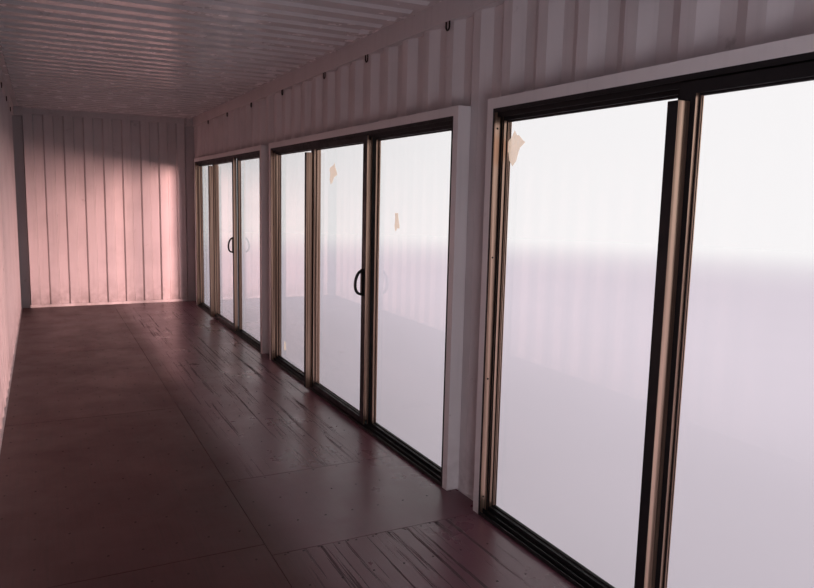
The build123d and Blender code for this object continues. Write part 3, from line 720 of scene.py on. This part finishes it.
class CABIN_OT_add_floor_screws(bpy.types.Operator):
    """Set rows of countersunk screws over the floor members"""

    bl_idname = "cabin.add_floor_screws"
    bl_label = "Floor screws"

    margin: bpy.props.FloatProperty(name="Margin", description="From the floor's long edges to the outer screws",
                                    unit="LENGTH", default=0.05)
    across: bpy.props.IntProperty(name="Screws across", description="Screws in each row across the floor", default=16)
    joint_screws: bpy.props.IntProperty(name="Joint screws", description="Screws along the repair sheet's near joint",
                                        default=13)
    joint_pitch: bpy.props.FloatProperty(name="Joint pitch", description="Distance between two joint screws",
                                         unit="LENGTH", default=0.088)

    def head(self, name, x):
        """Countersunk head just proud of the floor, with its socket"""
        radius, tall, sunk, socket_deep = look().screw_radius, 0.002, 0.0002, 0.0012
        screw = fresh(bpy.ops.mesh.primitive_cylinder_add, name, vertices=8, radius=radius, depth=tall,
                      location=(x, FLOOR_LOW[1] + self.margin, FLOOR_TOP - sunk))
        edit(screw, "FACE", lambda face: face.normal.z > 0.9)
        bpy.ops.mesh.inset(thickness=0.35 * radius)
        push((0.0, 0.0, -socket_deep))
        close()
        return screw

    def execute(self, context):
        rows = look().screw_rows
        members_low, members_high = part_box("floor_cross_members")
        to_first_row, flange, from_joint = 0.022, 0.045, 0.018
        pitch = (members_high[0] - members_low[0] - flange) / (rows - 1)
        step = (FLOOR_HIGH[1] - FLOOR_LOW[1] - 2 * self.margin) / (self.across - 1)
        screws = self.head("floor_screws", members_low[0] + to_first_row)
        repeat(screws, "Across", self.across, (0.0, step, 0.0))
        repeat(screws, "Along", rows, (pitch, 0.0, 0.0))
        joint_row = self.head("joint_screws", REPAIR_MIDDLE - REPAIR_HALF - from_joint)
        repeat(joint_row, "Along the joint", self.joint_screws, (0.0, self.joint_pitch, 0.0))
        finish_piece(merge([screws, joint_row]), "floor_screws", screw_steel())
        return {"FINISHED"}


class CABIN_OT_add_foot_strip(bpy.types.Operator):
    """Fit the rounded cover strip along the foot of the blind end"""

    bl_idname = "cabin.add_foot_strip"
    bl_label = "Foot strip"

    def execute(self, context):
        thick, end_gap, rounding = 0.016, 0.004, 0.010
        low = (END_WALL_LOW[0] - thick, END_WALL_LOW[1] + end_gap, FLOOR_TOP)
        high = (END_WALL_LOW[0], END_WALL_HIGH[1] - end_gap, FLOOR_TOP + look().foot_strip_height)
        strip = fresh_block("foot_strip", low, high)

        def room_side_top(edge):
            spot = edge_middle(strip, edge)
            return spot.x < low[0] + NEAR and spot.z > high[2] - NEAR

        edit(strip, "EDGE", room_side_top)
        bpy.ops.mesh.bevel(offset=rounding, segments=4)
        close()
        finish_piece(strip, "foot_strip", bpy.data.materials["lining_paint"])
        return {"FINISHED"}


def bead_ring(low, high, face, way):
    """Bevelled bead around one pane: low and high are (x, z), face is the glass's and way points away from it"""
    wide = look().bead_width
    ring = fresh(bpy.ops.mesh.primitive_plane_add, "bead", size=1.0, rotation=(-way * QUARTER_TURN, 0.0, 0.0),
                 location=((low[0] + high[0]) / 2, face, (low[1] + high[1]) / 2),
                 scale=(high[0] - low[0], high[1] - low[1], 1.0))
    edit(ring, "FACE", lambda face: True)
    bpy.ops.mesh.inset(thickness=wide)
    bpy.ops.mesh.delete(type="FACE")
    bpy.ops.mesh.select_all(action="SELECT")
    push((0.0, way * 0.75 * wide, 0.0))
    close()
    inner_low, inner_high = (low[0] + wide, low[1] + wide), (high[0] - wide, high[1] - wide)

    def inner_rim(edge):
        spot = edge_middle(ring, edge)
        in_width = inner_low[0] - NEAR < spot.x < inner_high[0] + NEAR
        in_height = inner_low[1] - NEAR < spot.z < inner_high[1] + NEAR
        return in_width and in_height and abs(spot.y - face) > 0.5 * wide

    edit(ring, "EDGE", inner_rim)
    bpy.ops.mesh.bevel(offset=0.5 * wide, segments=3)
    point_outwards()
    close()
    return ring


def pane_beads(low, high, glass_low, glass_high):
    """Beads on the room side and the weather side of one pane"""
    return [bead_ring(low, high, glass_high[1], 1), bead_ring(low, high, glass_low[1], -1)]


class CABIN_OT_add_glazing_beads(bpy.types.Operator):
    """Fit aluminium beads around both sides of every pane"""

    bl_idname = "cabin.add_glazing_beads"
    bl_label = "Glazing beads"

    stile: bpy.props.FloatProperty(name="Stile", description="Width of the wide stiles", unit="LENGTH", default=0.070)
    bite: bpy.props.FloatProperty(name="Bite", description="Depth of the glass in its sash", unit="LENGTH",
                                  default=0.008)
    overlap: bpy.props.FloatProperty(name="Overlap", description="Overlap of sliding and fixed stiles", unit="LENGTH",
                                     default=0.020)

    def execute(self, context):
        metal = bpy.data.materials["dark_aluminium"]
        for unit in UNITS:
            fixed_low, fixed_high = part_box("fixed_glass_" + unit)
            glass_low, glass_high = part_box("sliding_glass_" + unit)
            sash_low, sash_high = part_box("sliding_sash_" + unit)
            inward = self.overlap - self.stile
            bottom, top = fixed_low[2] + self.bite, fixed_high[2] - self.bite
            near = ((fixed_low[0] + self.bite, bottom), (sash_low[0] + inward, top))
            far = ((sash_high[0] - inward, bottom), (fixed_high[0] - self.bite, top))
            beads = pane_beads(*near, fixed_low, fixed_high) + pane_beads(*far, fixed_low, fixed_high)
            finish_piece(merge(beads), "fixed_pane_beads_" + unit, metal)
            low = (glass_low[0] + self.bite, glass_low[2] + self.bite)
            high = (glass_high[0] - self.bite, glass_high[2] - self.bite)
            beads = pane_beads(low, high, glass_low, glass_high)
            finish_piece(merge(beads), "sliding_pane_beads_" + unit, metal, "sliding_door_" + unit)
        return {"FINISHED"}


class CABIN_OT_add_lashing_rings(bpy.types.Operator):
    """Hang lashing rings of round bar where the CAD has plain square loops"""

    bl_idname = "cabin.add_lashing_rings"
    bl_label = "Lashing rings"

    def execute(self, context):
        bar = look().ring_bar
        boxes = solid_boxes("lashing_rings")
        low, high = boxes[0]
        half = (high[0] - low[0]) / 2
        bend = half - bar
        centre = (0.0, 0.0, -(high[2] - low[2]) + half)
        ring = fresh(bpy.ops.mesh.primitive_torus_add, "ring", major_radius=bend, minor_radius=bar, major_segments=20,
                     minor_segments=8, location=centre, rotation=(QUARTER_TURN, 0.0, 0.0))
        edit(ring, "VERT", lambda corner: corner.co.z > centre[2] + 0.1 * half)
        bpy.ops.mesh.delete(type="VERT")
        close()
        edit(ring, "VERT", lambda corner: corner.co.z > centre[2] - NEAR)
        bpy.ops.mesh.select_mode(type="EDGE")
        push((0.0, 0.0, -centre[2]))
        bpy.ops.mesh.edge_face_add()
        point_outwards()
        close()
        bpy.ops.object.shade_smooth_by_angle(angle=math.radians(50.0))
        rings = set_out(ring, [(middle_of(b)[0], middle_of(b)[1], b[1][2]) for b in boxes])
        finish_piece(rings, "round_lashing_rings", screw_steel())
        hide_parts("lashing_rings")
        return {"FINISHED"}


def rounded_head(name, sides, radius, tall, rounding):
    """Head that stands on the origin and faces up, with a rounded upper rim"""
    head = fresh(bpy.ops.mesh.primitive_cylinder_add, name, vertices=sides, radius=radius, depth=tall,
                 location=(0.0, 0.0, tall / 2))
    edit(head, "EDGE", lambda edge: min(head.data.vertices[i].co.z for i in edge.vertices) > tall - NEAR / 10)
    bpy.ops.mesh.bevel(offset=rounding, segments=2)
    close()
    return head


def button_head(radius, tall, turn):
    """Low round screw head with a socket, turned to face a side"""
    head = rounded_head("screw", 12, radius, tall, 0.4 * tall)
    edit(head, "FACE", lambda face: face.center.z > tall - NEAR / 10)
    bpy.ops.mesh.inset(thickness=0.45 * radius)
    push((0.0, 0.0, -0.6 * tall))
    close()
    turn_over(head, turn)
    return head


class CABIN_OT_add_door_screws(bpy.types.Operator):
    """Fix the door frames to their linings, and the pulls to their stiles, with round-headed screws"""

    bl_idname = "cabin.add_door_screws"
    bl_label = "Door screws"

    def execute(self, context):
        steel = screw_steel()
        for unit in UNITS:
            low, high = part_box("door_frame_" + unit)
            heights = [low[2] + share * (high[2] - low[2]) for share in JAMB_SCREW_SHARES]
            rows = []
            for x, turn in ((low[0] + JAMB_WALL, QUARTER_TURN), (high[0] - JAMB_WALL, -QUARTER_TURN)):
                head = button_head(JAMB_SCREW_RADIUS, JAMB_SCREW_TALL, (0.0, turn, 0.0))
                rows.append(set_out(head, [(x, high[1] - JAMB_SCREW_DEPTH, z) for z in heights]))
            finish_piece(merge(rows), "frame_screws_" + unit, steel)
            plate_low, plate_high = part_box("door_pull_" + unit)
            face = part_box("sliding_glass_" + unit)[1][1] + SASH_BEYOND_GLASS + PULL_PLATE_THICK
            x = (plate_low[0] + plate_high[0]) / 2
            head = button_head(PULL_SCREW_RADIUS, PULL_SCREW_TALL, (-QUARTER_TURN, 0.0, 0.0))
            ends = (plate_low[2] + PULL_SCREW_FROM_END, plate_high[2] - PULL_SCREW_FROM_END)
            pull_screws = set_out(head, [(x, face, z) for z in ends])
            finish_piece(pull_screws, "pull_screws_" + unit, steel, "sliding_door_" + unit)
        return {"FINISHED"}


class CABIN_OT_add_cargo_bolts(bpy.types.Operator):
    """Bolt the hinges and rod brackets to the cargo leaves"""

    bl_idname = "cabin.add_cargo_bolts"
    bl_label = "Cargo door bolts"

    def execute(self, context):
        bolt = rounded_head("bolt", 6, BOLT_RADIUS, BOLT_TALL, BOLT_ROUNDING)
        turn_over(bolt, (0.0, -QUARTER_TURN, 0.0))
        spots = []
        for low, high in solid_boxes("cargo_door_hinges"):
            side = 1.0 if low[1] > 0 else -1.0
            centre = middle_of((low, high))
            spots += [(low[0] + HINGE_PLATE, centre[1] - side * HINGE_KNUCKLE + y, centre[2] + z)
                      for y in HINGE_BOLTS_Y for z in HINGE_BOLTS_Z]
        for low, high in solid_boxes("lock_rod_brackets"):
            centre = middle_of((low, high))
            if min(high[1] - low[1], high[2] - low[2]) > LEAST_BOLTED_BRACKET:
                spots += [(low[0], centre[1] + y, centre[2] + z) for y in BRACKET_BOLTS_Y for z in BRACKET_BOLTS_Z]
        finish_piece(set_out(bolt, spots), "cargo_bolts", bpy.data.materials["dull_zinc"])
        return {"FINISHED"}


class CABIN_OT_add_tape_scraps(bpy.types.Operator):
    """Leave the torn scraps of masking tape that stick to the panes"""

    bl_idname = "cabin.add_tape_scraps"
    bl_label = "Tape scraps"

    thick: bpy.props.FloatProperty(name="Tape thickness", description="Thickness of a scrap", unit="LENGTH",
                                   default=0.0004)
    lift: bpy.props.FloatProperty(name="Lift", description="Gap between the pane and the tape", unit="LENGTH",
                                  default=0.0002)

    def scrap(self, x, pane_face, z, wide, tall, turn):
        """Scrap with a torn outline, turned by some degrees on the room side of a pane"""
        place = (x, pane_face + self.lift, z)
        made = fresh(bpy.ops.mesh.primitive_plane_add, "tape", size=1.0, location=place,
                     rotation=(-QUARTER_TURN, math.radians(turn), 0.0), scale=(wide, tall, 1.0))
        edit(made, "FACE", lambda face: True)
        bpy.ops.mesh.subdivide(number_cuts=3)
        bpy.ops.transform.vertex_random(offset=0.14 * min(wide, tall), uniform=1.0, normal=0.0, seed=4)
        bpy.ops.transform.resize(value=(1.0, 0.01, 1.0), center_override=place)
        push((0.0, self.thick, 0.0))
        point_outwards()
        close()
        return made

    def execute(self, context):
        tape = masking_tape()
        corner_x, fixed_face, corner_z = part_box("fixed_glass_1")[1]
        scraps = [
            self.scrap(corner_x - 0.070, fixed_face, corner_z - 0.138, wide=0.125, tall=0.098, turn=45.0),
            self.scrap(-0.912, fixed_face, 1.65, wide=0.060, tall=0.105, turn=6.0),
            self.scrap(1.496, fixed_face, 0.355, wide=0.055, tall=0.080, turn=0.0),
        ]
        finish_piece(merge(scraps), "tape_scraps", tape)
        moving_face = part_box("sliding_glass_2")[1][1]
        scrap = self.scrap(0.129, moving_face, 1.978, wide=0.140, tall=0.105, turn=20.0)
        finish_piece(scrap, "tape_scrap_on_door_2", tape, "sliding_door_2")
        return {"FINISHED"}


def soft_lamp(name, place, target, size, power, colour=(1.0, 1.0, 1.0)):
    """Rectangular lamp that shines at its target and isn't seen itself"""
    bpy.ops.object.light_add(type="AREA", location=place)
    lamp = bpy.context.object
    lamp.name = name
    lamp.data.shape = "RECTANGLE"
    lamp.data.size, lamp.data.size_y = size
    lamp.data.energy = power
    lamp.data.color = colour
    lamp.visible_camera = False
    lamp.visible_transmission = False
    lamp.visible_glossy = False
    lamp.rotation_euler = (Vector(target) - lamp.location).to_track_quat("-Z", "Y").to_euler()
    return lamp


def light_only(lamp, names):
    """Let a lamp light only the named pieces, so that rooms and outer walls both stay at a plain level"""
    chosen = bpy.data.collections.new(lamp.name + "_pieces")
    for name in names:
        chosen.objects.link(bpy.data.objects[name])
    lamp.light_linking.receiver_collection = chosen


class CABIN_OT_set_stage(bpy.types.Operator):
    """Lay the pale ground, set the lamps and put the camera at the photograph's place"""

    bl_idname = "cabin.set_stage"
    bl_label = "Set the stage"

    ground_size: bpy.props.FloatProperty(name="Ground size", description="Width of the ground", unit="LENGTH",
                                         default=160.0)
    haze_start: bpy.props.FloatProperty(name="Haze start", description="Distance at which the ground starts to fade",
                                        unit="LENGTH", default=12.0)
    haze_end: bpy.props.FloatProperty(name="Haze end", description="Distance at which only haze is left", unit="LENGTH",
                                      default=30.0)

    def lay_ground(self):
        """Plain pale ground that passes into a pale haze, and lights the cabin less than it shows"""
        just_under = -0.001
        bpy.ops.mesh.primitive_plane_add(size=self.ground_size, location=(0.0, 0.0, just_under))
        ground = bpy.context.object
        ground.name = "pale_ground"
        made, tree, surface, output = new_material("pale_ground")
        colour = tuple(look().ground_colour)
        bounced = add_node(tree, "ShaderNodeLightPath").outputs["Is Diffuse Ray"]
        shown = blend_colour(tree, noise(tree, place_pattern(tree), 0.5, 3.0), colour, scaled(colour, 0.93))
        join(tree, blend_colour(tree, bounced, shown, scaled(colour, 0.23)), surface.inputs["Base Color"])
        surface.inputs["Roughness"].default_value = 0.9
        distance = add_node(tree, "ShaderNodeVectorMath", operation="LENGTH")
        join(tree, place_pattern(tree), distance.inputs[0])
        far = ramp(tree, distance.outputs["Value"], self.haze_start, self.haze_end, 0.22, 1.0)
        haze = add_node(tree, "ShaderNodeEmission", {"Color": HAZE_COLOUR})
        join(tree, ramp(tree, bounced, 0.0, 1.0, 1.0, 0.25), haze.inputs["Strength"])
        join(tree, mix_shaders(tree, far, surface, haze), output.inputs["Surface"])
        ground.data.materials.append(made)

    def set_sky(self):
        """Sky that lights the cabin softly and shows pale to the camera, in glass and in metal"""
        world = bpy.data.worlds.new("pale_sky")
        bpy.context.scene.world = world
        world.use_nodes = True
        tree = world.node_tree
        tree.nodes.clear()
        rays = add_node(tree, "ShaderNodeLightPath").outputs
        seen = maths(tree, "MAXIMUM", rays["Is Camera Ray"], rays["Is Glossy Ray"])
        seen = maths(tree, "MAXIMUM", seen, rays["Is Transmission Ray"])
        lit = add_node(tree, "ShaderNodeBackground", {"Color": SKY_LIGHT, "Strength": 0.70})
        shown = add_node(tree, "ShaderNodeBackground", {"Color": HAZE_COLOUR, "Strength": 1.0})
        output = add_node(tree, "ShaderNodeOutputWorld")
        join(tree, mix_shaders(tree, seen, lit, shown), output.inputs["Surface"])

    def set_lamps(self):
        """Low warm daylight through the doors on the far walls, and soft light for the outside and the room"""
        low_light = soft_lamp("low_window_light", (-34.0, -15.6, 4.1), target=(6.0, 0.0, 1.5), size=(10.0, 8.0),
                              power=31000.0, colour=SUN_LOW)
        light_only(low_light, LOW_SUN_PIECES)
        glow = soft_lamp("window_glow", (-34.0, -15.6, 10.6), target=(6.0, 0.0, 1.0), size=(14.0, 20.0),
                         power=16500.0, colour=SUN_GLOW)
        light_only(glow, LOW_SUN_PIECES)
        side_light = soft_lamp("side_light", (16.0, -15.0, 9.0), target=(0.0, -1.2, 1.4), size=(8.0, 8.0), power=1900.0)
        light_only(side_light, OUTER_NODES)
        soft_lamp("high_light", (-14.0, 16.0, 17.0), target=(0.0, 0.0, 1.0), size=(12.0, 12.0), power=2300.0)
        soft_lamp("room_light", (-5.6, 0.3, 0.95), target=(-1.0, -0.5, 0.8), size=(1.3, 1.3), power=33.0, colour=DUSK)

    def set_camera(self):
        """Camera at the photograph's place, turned to the glazed side, tipped down and rolled a little"""
        bpy.ops.object.camera_add(location=CAMERA_PLACE)
        camera = bpy.context.object
        camera.name = "photo_camera"
        ahead = Vector((math.cos(CAMERA_YAW) * math.cos(CAMERA_PITCH), -math.sin(CAMERA_YAW) * math.cos(CAMERA_PITCH),
                        -math.sin(CAMERA_PITCH)))
        level = Vector((-math.sin(CAMERA_YAW), -math.cos(CAMERA_YAW), 0.0))
        right = level * math.cos(CAMERA_ROLL) + level.cross(ahead) * math.sin(CAMERA_ROLL)
        camera.rotation_euler = Matrix((right, right.cross(ahead), -ahead)).transposed().to_euler()
        camera.data.sensor_width = SENSOR_WIDE
        camera.data.lens = FOCAL_PIXELS * SENSOR_WIDE / PICTURE_PIXELS
        camera.data.clip_start = 0.02
        camera.data.clip_end = 400.0
        bpy.context.scene.camera = camera

    def execute(self, context):
        self.lay_ground()
        self.set_sky()
        self.set_lamps()
        self.set_camera()
        context.scene.view_settings.view_transform = "Standard"
        return {"FINISHED"}


class CABIN_PT_finishes(bpy.types.Panel):
    """Lists the cabin's finishes and fittings"""

    bl_idname = "CABIN_PT_finishes"
    bl_label = "Container cabin"
    bl_space_type = "VIEW_3D"
    bl_region_type = "UI"
    bl_category = "Cabin"

    def draw(self, context):
        for name in CabinLook.__annotations__:
            self.layout.prop(context.scene.cabin_look, name)
        for operator in OPERATORS:
            self.layout.operator(operator.bl_idname)


OPERATORS = (
    CABIN_OT_paint_steel,
    CABIN_OT_paint_linings,
    CABIN_OT_paint_floor,
    CABIN_OT_finish_doors,
    CABIN_OT_finish_cargo_end,
    CABIN_OT_add_floor_screws,
    CABIN_OT_add_foot_strip,
    CABIN_OT_add_glazing_beads,
    CABIN_OT_add_lashing_rings,
    CABIN_OT_add_door_screws,
    CABIN_OT_add_cargo_bolts,
    CABIN_OT_add_tape_scraps,
    CABIN_OT_set_stage,
)
CLASSES = (CabinLook,) + OPERATORS + (CABIN_PT_finishes,)


def register():
    for kind in CLASSES:
        bpy.utils.register_class(kind)
    bpy.types.Scene.cabin_look = bpy.props.PointerProperty(type=CabinLook)


def unregister():
    del bpy.types.Scene.cabin_look
    for kind in reversed(CLASSES):
        bpy.utils.unregister_class(kind)


def main():
    register()
    for make in (paint_group, grime_group, rust_group):
        make()
    for operator in OPERATORS:
        area, name = operator.bl_idname.split(".")
        getattr(getattr(bpy.ops, area), name)()


if __name__ == "__main__":
    main()
